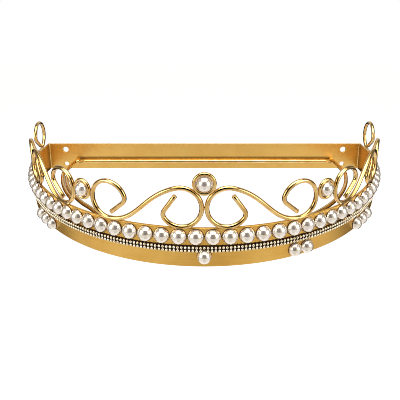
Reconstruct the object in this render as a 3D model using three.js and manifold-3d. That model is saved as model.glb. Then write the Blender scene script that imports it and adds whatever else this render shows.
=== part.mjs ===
// Bed crown: a half-round band on a wall plate, crowned with wire scrolls, rings and pearls.
// Millimetres, +Z up. The wall is the plane y = 0 and the crown stands out towards -Y.
// The origin is the middle of the plate's wall face. Heights in this file are measured
// from the lower edge of the plate and of the band.

import * as THREE from 'three';
import { mergeVertices } from 'three/addons/utils/BufferGeometryUtils.js';
import Module from 'manifold-3d';

const wasm = await Module();
wasm.setup();

// Strip that the wall plate and the band are made of
const bandRadius = 250;
const stripHeight = 41.3;
const stripThickness = 2.5;
const seatGap = 0.3;

// Screw holes near each end of the plate
const upperHoleRadius = 4.5;
const lowerHoleRadius = 3.6;
const holeFromEnd = 28;
const upperHoleFromTop = 9.5;
const lowerHoleFromBottom = 7.5;

// Scrolls of round wire along the top edge of the band
const wireRadius = 2.3;
const openLoopRadius = 20.1;
const closedLoopRadius = 19.65;
const rearLoopRadius = 21.3;
const footDepth = 1.6;
const scrollSetBack = 0.5;
const wallMargin = 9;
const tailEndRadius = 13;
const longTailEndRadius = 14.2;
const bendFillet = 5;

// Rings with a pearl in each
const ringWireRadius = 1.8;
const ringPearlRadius = 7.7;
const ringAboveFoot = 24.1;
const crestForward = 1.7;

// Flat-backed pearls on the face of the band
const pearlWidth = 15.6;
const pearlRise = 6.9;
const pearlPitch = 16.7;
const pearlsFromTop = 9;
const webRise = 0.7;
const smallPearlWidth = 13.9;
const smallPearlRise = 6.9;
const centreLap = 2.1;
const pairFromCentre = 94.2;
const pairPitch = 14.8;
const pairDrop = 1.35;
const trioFromCentre = 193.3;
const trioPitch = 16;
const trioDrop = 2.75;

// Two rows of beads under the pearls
const beadRadius = 1.55;
const beadRowPitch = 3.4;
const trimBelowPearls = 1.35;

// Curtain rod inside the band
const rodWireRadius = 2.5;
const rodBarRadius = 3;
const rodHeight = 13.3;
const rodFromBand = 33;
const legInset = 8.5;
const lapCornerReach = 5.5;

// Lap of the rod on the left, as angles from the front in degrees
const legAngle = 76.5;
const hoopEndAngle = 72;
const joggleStartAngle = 29;
const joggleEndAngle = 45;
const lapEndAngle = 52;

// Angles on the two kinds of scroll loop, in degrees, and what they share of the arc
const openBendAngle = -22;
const openTailAngle = 67;
const openLeaveAngle = 75;
const closedEnterAngle = -90;
const closedBendAngle = 176;
const closedTailAngle = -103;
const longTailAngle = -86;
const leaveShare = 0.45;
const enterShare = 0.43;
const spanShares = [0.337, 0.318, 0.345];

// Facet counts
const bandSegments = 32;
const holeSegments = 8;
const wireSides = 8;
const scrollSteps = 49;
const hoopSteps = 46;
const legSteps = 26;
const loopPoints = 24;
const ringSteps = 16;
const ballSides = 12;
const ballRows = 8;
const pearlSides = 12;
const pearlLatitudes = [-48, -16, 16, 48];
const trimSteps = 36;
const trimSides = 6;

const arcCentreY = -(stripThickness + seatGap);
const bandInnerRadius = bandRadius - stripThickness;
const faceRadius = bandRadius + seatGap;
const scrollRadius = bandRadius - scrollSetBack;
const loopFoot = stripHeight + wireRadius - footDepth;
const ringHeight = loopFoot + ringAboveFoot;
const ringRadius = ringPearlRadius + seatGap + ringWireRadius;
const pearlHeight = stripHeight - pearlsFromTop;
const trimReach = beadRowPitch / 2 + beadRadius;
const trimHeight = pearlHeight - pearlWidth / 2 - trimBelowPearls - trimReach;
const rodArcRadius = bandInnerRadius - rodFromBand;
const legFromMiddle = rodArcRadius - legInset;
const radians = THREE.MathUtils.degToRad;

const brushedGold = { color: 0xc9983f, roughness: 0.42, metalness: 1 };
const polishedGold = { color: 0xd9a94a, roughness: 0.18, metalness: 1 };
const pearlWhite = { color: 0xf3ebe4, roughness: 0.22, metalness: 0 };
const paleBead = { color: 0xe6dcc2, roughness: 0.25, metalness: 0.6 };

const crown = new THREE.Group();
const fromLowerEdge = new THREE.Group();
fromLowerEdge.position.z = -stripHeight / 2;
crown.add(fromLowerEdge);

function addPart(name, geometry, finish) {
  const mesh = new THREE.Mesh(geometry, new THREE.MeshStandardMaterial(finish));
  mesh.name = name;
  fromLowerEdge.add(mesh);
  return mesh;
}

// Place at arc length s to the right of the middle of the front, on radius r of the band's own circle
function onArc(s, height, r = scrollRadius) {
  const angle = s / r;
  return new THREE.Vector3(r * Math.sin(angle), arcCentreY - r * Math.cos(angle), height);
}

function toSolid(geometry) {
  const bare = geometry.clone();
  bare.deleteAttribute('normal');
  bare.deleteAttribute('uv');
  const merged = mergeVertices(bare);
  const vertProperties = new Float32Array(merged.attributes.position.array);
  const triVerts = new Uint32Array(merged.index.array);
  return new wasm.Manifold(new wasm.Mesh({ numProp: 3, vertProperties, triVerts }));
}

function toGeometry(solid) {
  const mesh = solid.getMesh();
  const geometry = new THREE.BufferGeometry();
  geometry.setAttribute('position', new THREE.BufferAttribute(mesh.vertProperties, 3));
  geometry.setIndex(new THREE.BufferAttribute(mesh.triVerts, 1));
  geometry.computeVertexNormals();
  return geometry;
}

function wireAlong(curve, radius, steps, sides = wireSides) {
  const section = new THREE.Shape();
  section.absarc(0, 0, radius, 0, 2 * Math.PI, false);
  return new THREE.ExtrudeGeometry(section, { curveSegments: sides / 2, steps, extrudePath: curve });
}

// Half ring seen from above, from the left end round the front to the right end
function halfRing(inner, outer, height) {
  const outline = new THREE.Shape();
  outline.absarc(0, 0, outer, Math.PI, 2 * Math.PI, false);
  outline.absarc(0, 0, inner, 2 * Math.PI, Math.PI, true);
  const rise = { depth: height, bevelEnabled: false, curveSegments: bandSegments };
  return new THREE.ExtrudeGeometry(outline, rise);
}

// Wall plate

function buildWallPlate() {
  const outline = new THREE.Shape();
  outline.moveTo(-bandRadius, 0);
  outline.lineTo(bandRadius, 0);
  outline.lineTo(bandRadius, stripHeight);
  outline.lineTo(-bandRadius, stripHeight);
  for (const side of [-1, 1]) {
    const x = side * (bandRadius - holeFromEnd);
    const upper = new THREE.Path();
    upper.absarc(x, stripHeight - upperHoleFromTop, upperHoleRadius, 0, 2 * Math.PI, true);
    const lower = new THREE.Path();
    lower.absarc(x, lowerHoleFromBottom, lowerHoleRadius, 0, 2 * Math.PI, true);
    outline.holes.push(upper, lower);
  }
  const section = { depth: stripThickness, bevelEnabled: false, curveSegments: holeSegments };
  const plate = new THREE.ExtrudeGeometry(outline, section);
  addPart('wall_plate', plate, brushedGold).rotation.x = Math.PI / 2;
}

// Rolled band

function buildBand() {
  const band = halfRing(bandInnerRadius, bandRadius, stripHeight);
  addPart('front_band', band, brushedGold).position.y = arcCentreY;
}

// Curtain rod: a bar along the plate, a hoop inside the band and a short leg that laps it

class PlanCurve extends THREE.Curve {
  constructor(path) {
    super();
    this.path = path;
  }

  getPoint(t, target = new THREE.Vector3()) {
    const p = this.path.getPointAt(t);
    return target.set(p.x, p.y, rodHeight);
  }
}

function buildCurtainRod() {
  const lapRadius = rodArcRadius - 2 * rodWireRadius - seatGap;
  const barY = arcCentreY - rodBarRadius;
  const wallEndY = arcCentreY - rodWireRadius;

  // Point of the rod at an angle from the front, positive to the right
  const rodPoint = (degrees, r = rodArcRadius) => {
    const angle = radians(degrees);
    return new THREE.Vector2(r * Math.sin(angle), arcCentreY - r * Math.cos(angle));
  };

  const hoop = new THREE.Path();
  const rightEnd = new THREE.Vector2(legFromMiddle, arcCentreY);
  hoop.moveTo(rightEnd.x, rightEnd.y);
  const rightTurn = rodPoint(legAngle);
  hoop.lineTo(rightTurn.x, rightTurn.y);
  hoop.absarc(0, arcCentreY, rodArcRadius, radians(legAngle - 90), radians(-joggleStartAngle - 90), true);
  const joggleMiddle = (joggleStartAngle + joggleEndAngle) / 2;
  const outward = rodPoint(-joggleMiddle);
  const inward = rodPoint(-joggleMiddle, lapRadius);
  const joggleEnd = rodPoint(-joggleEndAngle, lapRadius);
  hoop.bezierCurveTo(outward.x, outward.y, inward.x, inward.y, joggleEnd.x, joggleEnd.y);
  hoop.absarc(0, arcCentreY, lapRadius, radians(-joggleEndAngle - 90), radians(-hoopEndAngle - 90), true);
  addPart('rod_hoop', wireAlong(new PlanCurve(hoop), rodWireRadius, hoopSteps), polishedGold);

  const barRight = legFromMiddle - rodWireRadius - seatGap;
  const barLeft = lapCornerReach + seatGap - legFromMiddle;
  const bar = new THREE.CylinderGeometry(rodBarRadius, rodBarRadius, barRight - barLeft, 2 * wireSides);
  const barMesh = addPart('rod_back_bar', bar, polishedGold);
  barMesh.rotation.z = Math.PI / 2;
  barMesh.position.set((barLeft + barRight) / 2, barY, rodHeight);

  const leg = new THREE.Path();
  const cornerY = wallEndY - rodWireRadius;
  leg.moveTo(barLeft - seatGap, wallEndY);
  leg.lineTo(-legFromMiddle + rodWireRadius, wallEndY);
  leg.quadraticCurveTo(-legFromMiddle, wallEndY, -legFromMiddle, cornerY);
  const leftTurn = rodPoint(-legAngle);
  leg.lineTo(leftTurn.x, leftTurn.y);
  leg.absarc(0, arcCentreY, rodArcRadius, radians(-legAngle - 90), radians(-lapEndAngle - 90), false);
  addPart('rod_left_leg', wireAlong(new PlanCurve(leg), rodWireRadius, legSteps), polishedGold);
}

// Scrolls: drawn flat as arc length and height, then wrapped round the band

class WrappedCurve extends THREE.Curve {
  constructor(path, side) {
    super();
    this.path = path;
    this.side = side;
  }

  getPoint(t) {
    const p = this.path.getPointAt(t);
    return onArc(this.side * p.x, p.y);
  }
}

// A loop that stands on the band, seen flat: way is 1 or -1 as angles run to the right or to the left
class Loop {
  constructor(centre, radius, way) {
    Object.assign(this, { centre, radius, way });
  }

  at(degrees, radius = this.radius) {
    const angle = radians(degrees);
    const x = this.centre + this.way * radius * Math.cos(angle);
    return new THREE.Vector2(x, loopFoot + this.radius + radius * Math.sin(angle));
  }

  direction(degrees) {
    const angle = radians(degrees);
    return new THREE.Vector2(-this.way * Math.sin(angle), Math.cos(angle));
  }

  // Arc from one angle to another as a smooth curve through points on the loop
  arc(start, end) {
    const points = [];
    for (let i = 0; i <= loopPoints; i++) points.push(this.at(start + ((end - start) * i) / loopPoints));
    return new THREE.SplineCurve(points);
  }

  // Angle that the bend's fillet takes from the loop
  get filletTurn() {
    return THREE.MathUtils.radToDeg(bendFillet / this.radius);
  }
}

// S of one wire between two loops, whose tails turn back inside them with a tight bend
function scrollPath(open, closed, closedTail) {
  const path = new THREE.CurvePath();
  const openTail = open.at(openTailAngle, tailEndRadius);
  const openBend = open.at(openBendAngle);
  const openBendStart = openBend.clone().lerp(openTail, bendFillet / openBend.distanceTo(openTail));
  const openStart = openBendAngle - open.filletTurn;
  path.add(new THREE.LineCurve(openTail, openBendStart));
  path.add(new THREE.QuadraticBezierCurve(openBendStart, openBend, open.at(openStart)));
  path.add(open.arc(openStart, openLeaveAngle - 360));

  const span = Math.abs(closed.centre - open.centre);
  const leave = open.at(openLeaveAngle);
  const enter = closed.at(closedEnterAngle);
  const leaveHandle = leave.clone().addScaledVector(open.direction(openLeaveAngle), -leaveShare * span);
  const enterHandle = enter.clone().addScaledVector(closed.direction(closedEnterAngle), -enterShare * span);
  path.add(new THREE.CubicBezierCurve(leave, leaveHandle, enterHandle, enter));

  const closedBend = closed.at(closedBendAngle);
  const closedBendEnd = closedBend.clone().lerp(closedTail, bendFillet / closedBend.distanceTo(closedTail));
  const closedEnd = closedBendAngle - closed.filletTurn;
  path.add(closed.arc(closedEnterAngle, closedEnd));
  path.add(new THREE.QuadraticBezierCurve(closed.at(closedEnd), closedBend, closedBendEnd));
  path.add(new THREE.LineCurve(closedBendEnd, closedTail));
  return path;
}

// Centres of the loops and the ring of one side, each touching the next
function layOutSide() {
  const reach = (radius) => radius + wireRadius;
  const ringReach = reach(closedLoopRadius) + ringRadius + ringWireRadius + seatGap;
  const ringStep = Math.sqrt(ringReach ** 2 - (ringHeight - loopFoot - closedLoopRadius) ** 2);
  const first = reach(openLoopRadius) + seatGap / 2;
  const loopStep = 2 * first;
  const halfArc = (Math.PI / 2) * scrollRadius;
  const free = halfArc - first - 2 * ringStep - loopStep - reach(rearLoopRadius) - wallMargin;
  const [frontSpan, sideSpan, rearSpan] = spanShares.map((share) => share * free);
  const frontClosed = first + frontSpan;
  const ring = frontClosed + ringStep;
  const sideClosed = ring + ringStep;
  const sideOpen = sideClosed + sideSpan;
  const rearOpen = sideOpen + loopStep;
  const rearClosed = rearOpen + rearSpan;
  return { first, frontClosed, ring, sideClosed, sideOpen, rearOpen, rearClosed };
}

function buildScrolls(places) {
  const spare = 2 * wireRadius;
  const below = halfRing(bandInnerRadius - spare, bandRadius + spare, stripHeight + seatGap);
  const filedOff = toSolid(below.translate(0, arcCentreY, 0));
  const { first, frontClosed, sideClosed, sideOpen, rearOpen, rearClosed } = places;
  const front = new Loop(frontClosed, closedLoopRadius, 1);
  const side = new Loop(sideClosed, closedLoopRadius, -1);
  const rear = new Loop(rearClosed, rearLoopRadius, 1);
  const frontTail = front.at(closedTailAngle, tailEndRadius);
  const sideTail = side.at(longTailAngle, longTailEndRadius);
  const rearTail = rear.at(longTailAngle, longTailEndRadius);
  const scrolls = {
    front: scrollPath(new Loop(first, openLoopRadius, 1), front, frontTail),
    side: scrollPath(new Loop(sideOpen, openLoopRadius, -1), side, sideTail),
    rear: scrollPath(new Loop(rearOpen, openLoopRadius, 1), rear, rearTail),
  };
  for (const [place, path] of Object.entries(scrolls)) {
    for (const [hand, sign] of [['left', -1], ['right', 1]]) {
      const wire = toSolid(wireAlong(new WrappedCurve(path, sign), wireRadius, scrollSteps));
      addPart(`scroll_${place}_${hand}`, toGeometry(wire.subtract(filedOff)), polishedGold);
    }
  }
}

// Rings and their pearls

function addRing(ringName, pearlName, s, height, forward = 0) {
  const hoop = new THREE.TorusGeometry(ringRadius, ringWireRadius, wireSides, ringSteps);
  const ball = new THREE.SphereGeometry(ringPearlRadius, ballSides, ballRows);
  for (const mesh of [addPart(ringName, hoop, polishedGold), addPart(pearlName, ball, pearlWhite)]) {
    mesh.position.copy(onArc(s, height, scrollRadius + forward));
    mesh.rotation.set(Math.PI / 2, 0, s / scrollRadius, 'ZYX');
  }
}

function buildRings(places) {
  addRing('ring_left', 'ring_pearl_left', -places.ring, ringHeight);
  addRing('ring_right', 'ring_pearl_right', places.ring, ringHeight);
  const wireStep = wireRadius + ringWireRadius + seatGap;
  const contact = openLoopRadius + ringRadius + Math.sqrt(wireStep ** 2 - crestForward ** 2);
  const crestHeight = loopFoot + openLoopRadius + Math.sqrt(contact ** 2 - places.first ** 2);
  addRing('crest_ring', 'crest_pearl', 0, crestHeight, crestForward);
}

// Flat-backed pearls: domes left standing out of the band when balls behind its face are cut off

function ballBehindFace(width, rise) {
  const radius = ((width / 2) ** 2 + rise ** 2) / (2 * rise);
  return { radius, depth: radius - rise };
}

// Wrap a shape round the band: its X points outwards from centreRadius, its Y runs along the arc
function wrapRound(geometry, centreRadius, height) {
  const position = geometry.attributes.position;
  for (let i = 0; i < position.count; i++) {
    const s = (position.getY(i) * centreRadius) / faceRadius;
    const p = onArc(s, height + position.getZ(i), centreRadius);
    const outward = new THREE.Vector3(p.x, p.y - arcCentreY, 0).setLength(position.getX(i));
    p.add(outward);
    position.setXYZ(i, p.x, p.y, p.z);
  }
  return geometry;
}

function standOnBand(geometry) {
  const depth = 2 * pearlWidth;
  const backing = halfRing(faceRadius - depth, faceRadius, stripHeight + depth);
  backing.translate(0, arcCentreY, -depth / 2);
  return toGeometry(toSolid(geometry).subtract(toSolid(backing)));
}

function buildPearlRow() {
  const { radius, depth } = ballBehindFace(pearlWidth, pearlRise);
  const perSide = Math.floor(((Math.PI / 2) * faceRadius) / pearlPitch);
  const start = -perSide * pearlPitch;
  const web = depth + webRise;
  const profile = [new THREE.Vector2(0, start), new THREE.Vector2(web, start)];
  for (let i = 0; i < 2 * perSide; i++) {
    const middle = start + (i + 0.5) * pearlPitch;
    for (const latitude of pearlLatitudes) {
      const angle = radians(latitude);
      profile.push(new THREE.Vector2(radius * Math.cos(angle), middle + radius * Math.sin(angle)));
    }
    profile.push(new THREE.Vector2(web, middle + pearlPitch / 2));
  }
  profile.push(new THREE.Vector2(0, -start));
  const strand = wrapRound(new THREE.LatheGeometry(profile, pearlSides), faceRadius - depth, pearlHeight);
  addPart('pearl_row', standOnBand(strand), pearlWhite);
}

// Ball of a small pearl in its place on the band, with room round it if room is given
function smallPearlBall(s, drop, room = 0) {
  const { radius, depth } = ballBehindFace(smallPearlWidth, smallPearlRise);
  const height = trimHeight - trimReach - seatGap - smallPearlWidth / 2 - drop;
  const ball = new THREE.SphereGeometry(radius + room, pearlSides, pearlSides / 2).translate(0, s, 0);
  return wrapRound(ball, faceRadius - depth, height);
}

function addBandPearl(name, s, drop) {
  addPart(name, standOnBand(smallPearlBall(s, drop)), pearlWhite);
}

function buildSmallPearls() {
  addBandPearl('band_pearl_centre', 0, -centreLap);
  addBandPearl('band_pearl_right_a', pairFromCentre, pairDrop);
  addBandPearl('band_pearl_right_b', pairFromCentre + pairPitch, pairDrop);
  ['a', 'b', 'c'].forEach((letter, i) => {
    const s = trioFromCentre + i * trioPitch;
    addBandPearl(`end_pearl_left_${letter}`, -s, trioDrop);
    addBandPearl(`end_pearl_right_${letter}`, s, trioDrop);
  });
}

// Bead trim: two rows under the pearls, the lower one notched where the centre pearl laps over it

class TrimCurve extends THREE.Curve {
  constructor(height) {
    super();
    this.height = height;
  }

  getPoint(t, target = new THREE.Vector3()) {
    const r = faceRadius + beadRadius;
    const reach = (Math.PI / 2) * r - beadRadius;
    return target.copy(onArc((2 * t - 1) * reach, this.height, r));
  }
}

function buildBeadTrim() {
  const centrePearl = toSolid(smallPearlBall(0, -centreLap, seatGap));
  for (const [name, side] of [['bead_trim_upper', 1], ['bead_trim_lower', -1]]) {
    const row = new TrimCurve(trimHeight + (side * beadRowPitch) / 2);
    const strand = toSolid(wireAlong(row, beadRadius, trimSteps, trimSides));
    addPart(name, toGeometry(strand.subtract(centrePearl)), paleBead);
  }
}

const places = layOutSide();
buildWallPlate();
buildBand();
buildCurtainRod();
buildScrolls(places);
buildRings(places);
buildPearlRow();
buildSmallPearls();
buildBeadTrim();

export default crown;
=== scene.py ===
import math

import bmesh
import bpy
from mathutils import Euler, Matrix, Vector


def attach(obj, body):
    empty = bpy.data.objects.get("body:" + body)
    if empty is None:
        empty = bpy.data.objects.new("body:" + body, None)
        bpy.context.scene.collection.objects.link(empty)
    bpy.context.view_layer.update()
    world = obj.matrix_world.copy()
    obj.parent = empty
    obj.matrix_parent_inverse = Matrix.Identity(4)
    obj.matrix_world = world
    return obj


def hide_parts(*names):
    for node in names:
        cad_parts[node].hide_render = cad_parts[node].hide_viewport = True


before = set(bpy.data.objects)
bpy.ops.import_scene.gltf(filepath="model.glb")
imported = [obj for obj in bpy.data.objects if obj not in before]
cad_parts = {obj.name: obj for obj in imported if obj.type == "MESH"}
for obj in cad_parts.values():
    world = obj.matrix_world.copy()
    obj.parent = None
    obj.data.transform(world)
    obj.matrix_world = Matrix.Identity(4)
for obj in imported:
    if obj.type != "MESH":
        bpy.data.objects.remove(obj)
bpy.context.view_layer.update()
scene = bpy.context.scene
scene.view_settings.view_transform = "Standard"
mm = 0.001  # all settings below are in millimetres unless they say otherwise
print("frame loaded")


def addObject(name, data):
    thing = bpy.data.objects.new(name, data)
    scene.collection.objects.link(thing)
    return thing


# The photograph looks slightly down at the crown, from in front of the band and above its crest
camera = {
    "place": (0, -0.58363, 0.21767),  # metres
    "pitch": 12.18,  # degrees below level
    "lens": 34.371,
    "sensor": 36,
    "shift": (-0.01085, -0.25),  # shares of the frame's width
    "nearest": 0.02,  # metres
    "pixelFilter": 0.9,  # pixels, crisp as the photograph is
}


def makeCamera(c):
    data = bpy.data.cameras.new("camera")
    data.sensor_width = c["sensor"]
    data.lens = c["lens"]
    data.shift_x, data.shift_y = c["shift"]
    data.clip_start = c["nearest"]
    scene.camera = addObject("camera", data)
    scene.camera.location = c["place"]
    scene.camera.rotation_euler = Euler((math.radians(90 - c["pitch"]), 0, 0))
    scene.cycles.filter_width = c["pixelFilter"]


makeCamera(camera)
print("camera set")


def toLinear(code):
    channels = [int(code[i : i + 2], 16) / 255 for i in (1, 3, 5)]
    bent = [v / 12.92 if v <= 0.04045 else ((v + 0.055) / 1.055) ** 2.4 for v in channels]
    return (*bent, 1)


# Adds a node: links are its inputs as sockets or values, shades the stops of a colour ramp, and
# settings its own properties
def addNode(tree, kind, links=None, shades=(), **settings):
    node = tree.nodes.new(kind)
    for name, value in settings.items():
        setattr(node, name, value)
    for socket, source in (links or {}).items():
        if isinstance(source, bpy.types.NodeSocket):
            tree.links.new(source, node.inputs[socket])
        else:
            node.inputs[socket].default_value = source
    if shades:
        stops = node.color_ramp.elements
        while len(stops) < len(shades):
            stops.new(0.5)
        for stop, (place, code) in zip(stops, shades):
            stop.position = place
            stop.color = toLinear(code)
    return node


def newMaterial(name):
    material = bpy.data.materials.new(name)
    material.use_nodes = True
    tree = material.node_tree
    tree.nodes.clear()
    return material, tree


def finishMaterial(tree, shader):
    addNode(tree, "ShaderNodeOutputMaterial", {"Surface": shader.outputs["BSDF"]})


noiseSpan = {"From Min": 0.3, "From Max": 0.7}  # what a noise texture mostly gives

# Mild steel strip, brass plated, brushed along its length and lacquered: a satin gold with soft
# long streaks and cloudy patches, darkened by painted shade above the rod's bar and in the band's corners
# with the plate
strip = {
    "bandShades": [(0.25, "#c89541"), (0.5, "#dbac56"), (0.8, "#e9c06e")],
    "platePaintedLightShades": [(0.25, "#e3b05a"), (0.5, "#edc06a"), (0.8, "#f5cc7a")],  # the band's plating painted lighter, as painted light on the plate
    "streakLength": 45,
    "streakWidth": 0.9,  # real brush lines are about 0.1 mm, drawn coarser so that they show
    "blotch": 38,
    "streakShare": 0.45,  # of the colour's changes, the blotches give the rest
    "roughness": (0.3, 0.42),
    "relief": 0.012,
    "reliefStrength": 0.5,
    "paintedShadeLevel": 0.3,  # share of the gold's brightness kept where the painted shade is full
    # Painted shade as axis, place where it is full and place where it ends: on the plate's front above
    # the rod's bar, and in the band's corners with the plate
    "platePaintedShade": [("Z", -3, 1), ("Z", -8.5, -9.5), ("X", 199, 206), ("X", -199, -206), ("Y", -2, -1)],
    "bandPaintedShade": [("Y", 0, -21)],
}


def makeStripMaterial(name, s, shades, paintedShadeZones):
    material, tree = newMaterial(name)
    grain = addNode(tree, "ShaderNodeUVMap", uv_map="grain").outputs["UV"]  # millimetres along and up
    place = addNode(tree, "ShaderNodeTexCoord").outputs["Object"]
    spot = addNode(tree, "ShaderNodeSeparateXYZ", {"Vector": place}).outputs
    lines = addNode(tree, "ShaderNodeMapping", {
        "Vector": grain, "Scale": (1 / s["streakLength"], 1 / s["streakWidth"], 1)})
    streak = addNode(tree, "ShaderNodeTexNoise", {
        "Vector": lines.outputs["Vector"], "Scale": 1.0, "Detail": 4.0, "Roughness": 0.6}).outputs["Fac"]
    spread = addNode(tree, "ShaderNodeMapping", {
        "Vector": grain, "Scale": (1 / s["blotch"], 1 / s["blotch"], 1)})
    blotch = addNode(tree, "ShaderNodeTexNoise", {
        "Vector": spread.outputs["Vector"], "Scale": 1.0, "Detail": 2.0}).outputs["Fac"]
    both = addNode(tree, "ShaderNodeMix", {"Factor": s["streakShare"], "A": blotch, "B": streak})
    colour = addNode(tree, "ShaderNodeValToRGB", {"Fac": both.outputs["Result"]}, shades).outputs["Color"]
    # Painted shade: the gold is darkened inside each listed zone, most where the shade is full
    share = 0.0
    for axis, fullShadeAt, shadeEndAt in paintedShadeZones:
        part = addNode(tree, "ShaderNodeMapRange", {
            "Value": spot[axis], "From Min": fullShadeAt * mm, "From Max": shadeEndAt * mm, "To Min": s["paintedShadeLevel"],
        }, interpolation_type="SMOOTHSTEP").outputs["Result"]
        share = addNode(tree, "ShaderNodeMath", {0: part, 1: share}, operation="MAXIMUM").outputs[0]
    shadedColour = addNode(tree, "ShaderNodeVectorMath", {0: colour, "Scale": share}, operation="SCALE")
    rough = addNode(tree, "ShaderNodeMapRange", {
        "Value": streak, **noiseSpan, "To Min": s["roughness"][0], "To Max": s["roughness"][1]})
    bump = addNode(tree, "ShaderNodeBump", {
        "Height": streak, "Strength": s["reliefStrength"], "Distance": s["relief"] * mm})
    shader = addNode(tree, "ShaderNodeBsdfPrincipled", {
        "Base Color": shadedColour.outputs[0], "Metallic": 1.0,
        "Roughness": rough.outputs["Result"], "Normal": bump.outputs["Normal"]})
    finishMaterial(tree, shader)
    return material


# Drawn steel wire, brass plated, polished and lacquered: bright gold that mirrors the room in long
# lines with white hearts, with faint draw marks and slightly duller patches where it was bent
wire = {
    "shades": [(0.3, "#c69a4b"), (0.55, "#d8b166"), (0.8, "#e7ca89")],
    "blotch": 14,
    "markSize": 0.7,  # draw marks, coarser than the real 0.05 mm so that they show
    "roughness": (0.06, 0.12),
    "relief": 0.006,
    "reliefStrength": 0.4,
    "lacquer": {"Coat Weight": 1.0, "Coat Roughness": 0.04, "Coat IOR": 1.5},
}


def makeWireMaterial(w):
    material, tree = newMaterial("polishedGoldWire")
    place = addNode(tree, "ShaderNodeTexCoord").outputs["Object"]
    patch = addNode(tree, "ShaderNodeTexNoise", {
        "Vector": place, "Scale": 1 / (w["blotch"] * mm), "Detail": 2.0}).outputs["Fac"]
    marks = addNode(tree, "ShaderNodeTexNoise", {
        "Vector": place, "Scale": 1 / (w["markSize"] * mm), "Detail": 3.0}).outputs["Fac"]
    colour = addNode(tree, "ShaderNodeValToRGB", {"Fac": patch}, w["shades"])
    rough = addNode(tree, "ShaderNodeMapRange", {
        "Value": patch, **noiseSpan, "To Min": w["roughness"][0], "To Max": w["roughness"][1]})
    bump = addNode(tree, "ShaderNodeBump", {
        "Height": marks, "Strength": w["reliefStrength"], "Distance": w["relief"] * mm})
    shader = addNode(tree, "ShaderNodeBsdfPrincipled", {
        "Base Color": colour.outputs["Color"], "Metallic": 1.0, "Roughness": rough.outputs["Result"],
        **w["lacquer"], "Normal": bump.outputs["Normal"]})
    finishMaterial(tree, shader)
    return material


# Imitation pearl, a moulded bead dipped in pearl-essence lacquer: creamy white with a soft metallic
# lustre from the platelets, a pink and green cast at grazing angles and a clear glossy skin
pearl = {
    "shades": [(0.35, "#f0e3d2"), (0.6, "#f5eae0"), (0.8, "#f6e8e4")],
    "cloud": 6,  # size of the faint clouds of colour
    "platelet": 0.5,  # coarser than real platelets so that the skin is not perfectly even
    "relief": 0.004,
    "reliefStrength": 0.25,
    "body": {"Metallic": 0.66, "Roughness": 0.14, "IOR": 1.53},  # metallic gives the lustre
    "skin": {"Coat Weight": 1.0, "Coat Roughness": 0.1, "Coat IOR": 1.55},
    "film": {"Thin Film Thickness": 420, "Thin Film IOR": 1.65},  # nanometres
}


def makePearlMaterial(p):
    material, tree = newMaterial("pearlLacquer")
    place = addNode(tree, "ShaderNodeTexCoord").outputs["Object"]
    cloud = addNode(tree, "ShaderNodeTexNoise", {
        "Vector": place, "Scale": 1 / (p["cloud"] * mm), "Detail": 2.0}).outputs["Fac"]
    flakes = addNode(tree, "ShaderNodeTexNoise", {
        "Vector": place, "Scale": 1 / (p["platelet"] * mm), "Detail": 2.0}).outputs["Fac"]
    colour = addNode(tree, "ShaderNodeValToRGB", {"Fac": cloud}, p["shades"])
    bump = addNode(tree, "ShaderNodeBump", {
        "Height": flakes, "Strength": p["reliefStrength"], "Distance": p["relief"] * mm})
    shader = addNode(tree, "ShaderNodeBsdfPrincipled", {
        "Base Color": colour.outputs["Color"], **p["body"], **p["skin"], **p["film"],
        "Normal": bump.outputs["Normal"]})
    finishMaterial(tree, shader)
    return material


# Metal-coated plastic beads fused on a strip: champagne coloured and mirror-like, slightly uneven
bead = {
    "shades": [(0.3, "#e6d2ab"), (0.5, "#f6ead0"), (0.75, "#fdf8ee")],
    "spread": 3.1,  # so that neighbouring beads differ
    "roughness": (0.1, 0.4),
    "metal": 0.85,
    "coat": 0.3,
}


def makeBeadMaterial(b):
    material, tree = newMaterial("metalCoatedBead")
    place = addNode(tree, "ShaderNodeTexCoord").outputs["Object"]
    tone = addNode(tree, "ShaderNodeTexNoise", {
        "Vector": place, "Scale": 1 / (b["spread"] * mm), "Detail": 1.0}).outputs["Fac"]
    colour = addNode(tree, "ShaderNodeValToRGB", {"Fac": tone}, b["shades"])
    rough = addNode(tree, "ShaderNodeMapRange", {
        "Value": tone, "To Min": b["roughness"][0], "To Max": b["roughness"][1]})
    shader = addNode(tree, "ShaderNodeBsdfPrincipled", {
        "Base Color": colour.outputs["Color"], "Metallic": b["metal"],
        "Roughness": rough.outputs["Result"], "Coat Weight": b["coat"]})
    finishMaterial(tree, shader)
    return material


# Woven tape with hot-melt glue behind the beads, nearly matt; its black-brown is partly its own colour and
# partly painted shade in the gaps between the beads
tapeAndGapShade = {"shades": [(0.35, "#1d1109"), (0.7, "#3a2615")], "lump": 0.8, "roughness": 0.55, "shine": 0.15}
# Brown contact glue set in a thin rim round each pearl, slightly glossy; its dark brown is partly the glue's
# own colour and partly painted contact shadow round the pearls
glueAndContactShade = {"shades": [(0.35, "#3b2410"), (0.7, "#5b3a1b")], "lump": 1.6, "roughness": 0.4, "shine": 0.3}
lumpRelief = {"Strength": 0.5, "Distance": 0.05 * mm}


def makeDarkMaterial(name, d):
    material, tree = newMaterial(name)
    place = addNode(tree, "ShaderNodeTexCoord").outputs["Object"]
    lump = addNode(tree, "ShaderNodeTexNoise", {
        "Vector": place, "Scale": 1 / (d["lump"] * mm), "Detail": 2.0}).outputs["Fac"]
    colour = addNode(tree, "ShaderNodeValToRGB", {"Fac": lump}, d["shades"])
    bump = addNode(tree, "ShaderNodeBump", {"Height": lump, **lumpRelief})
    shader = addNode(tree, "ShaderNodeBsdfPrincipled", {
        "Base Color": colour.outputs["Color"], "Roughness": d["roughness"],
        "Specular IOR Level": d["shine"], "Normal": bump.outputs["Normal"]})
    finishMaterial(tree, shader)
    return material


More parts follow.
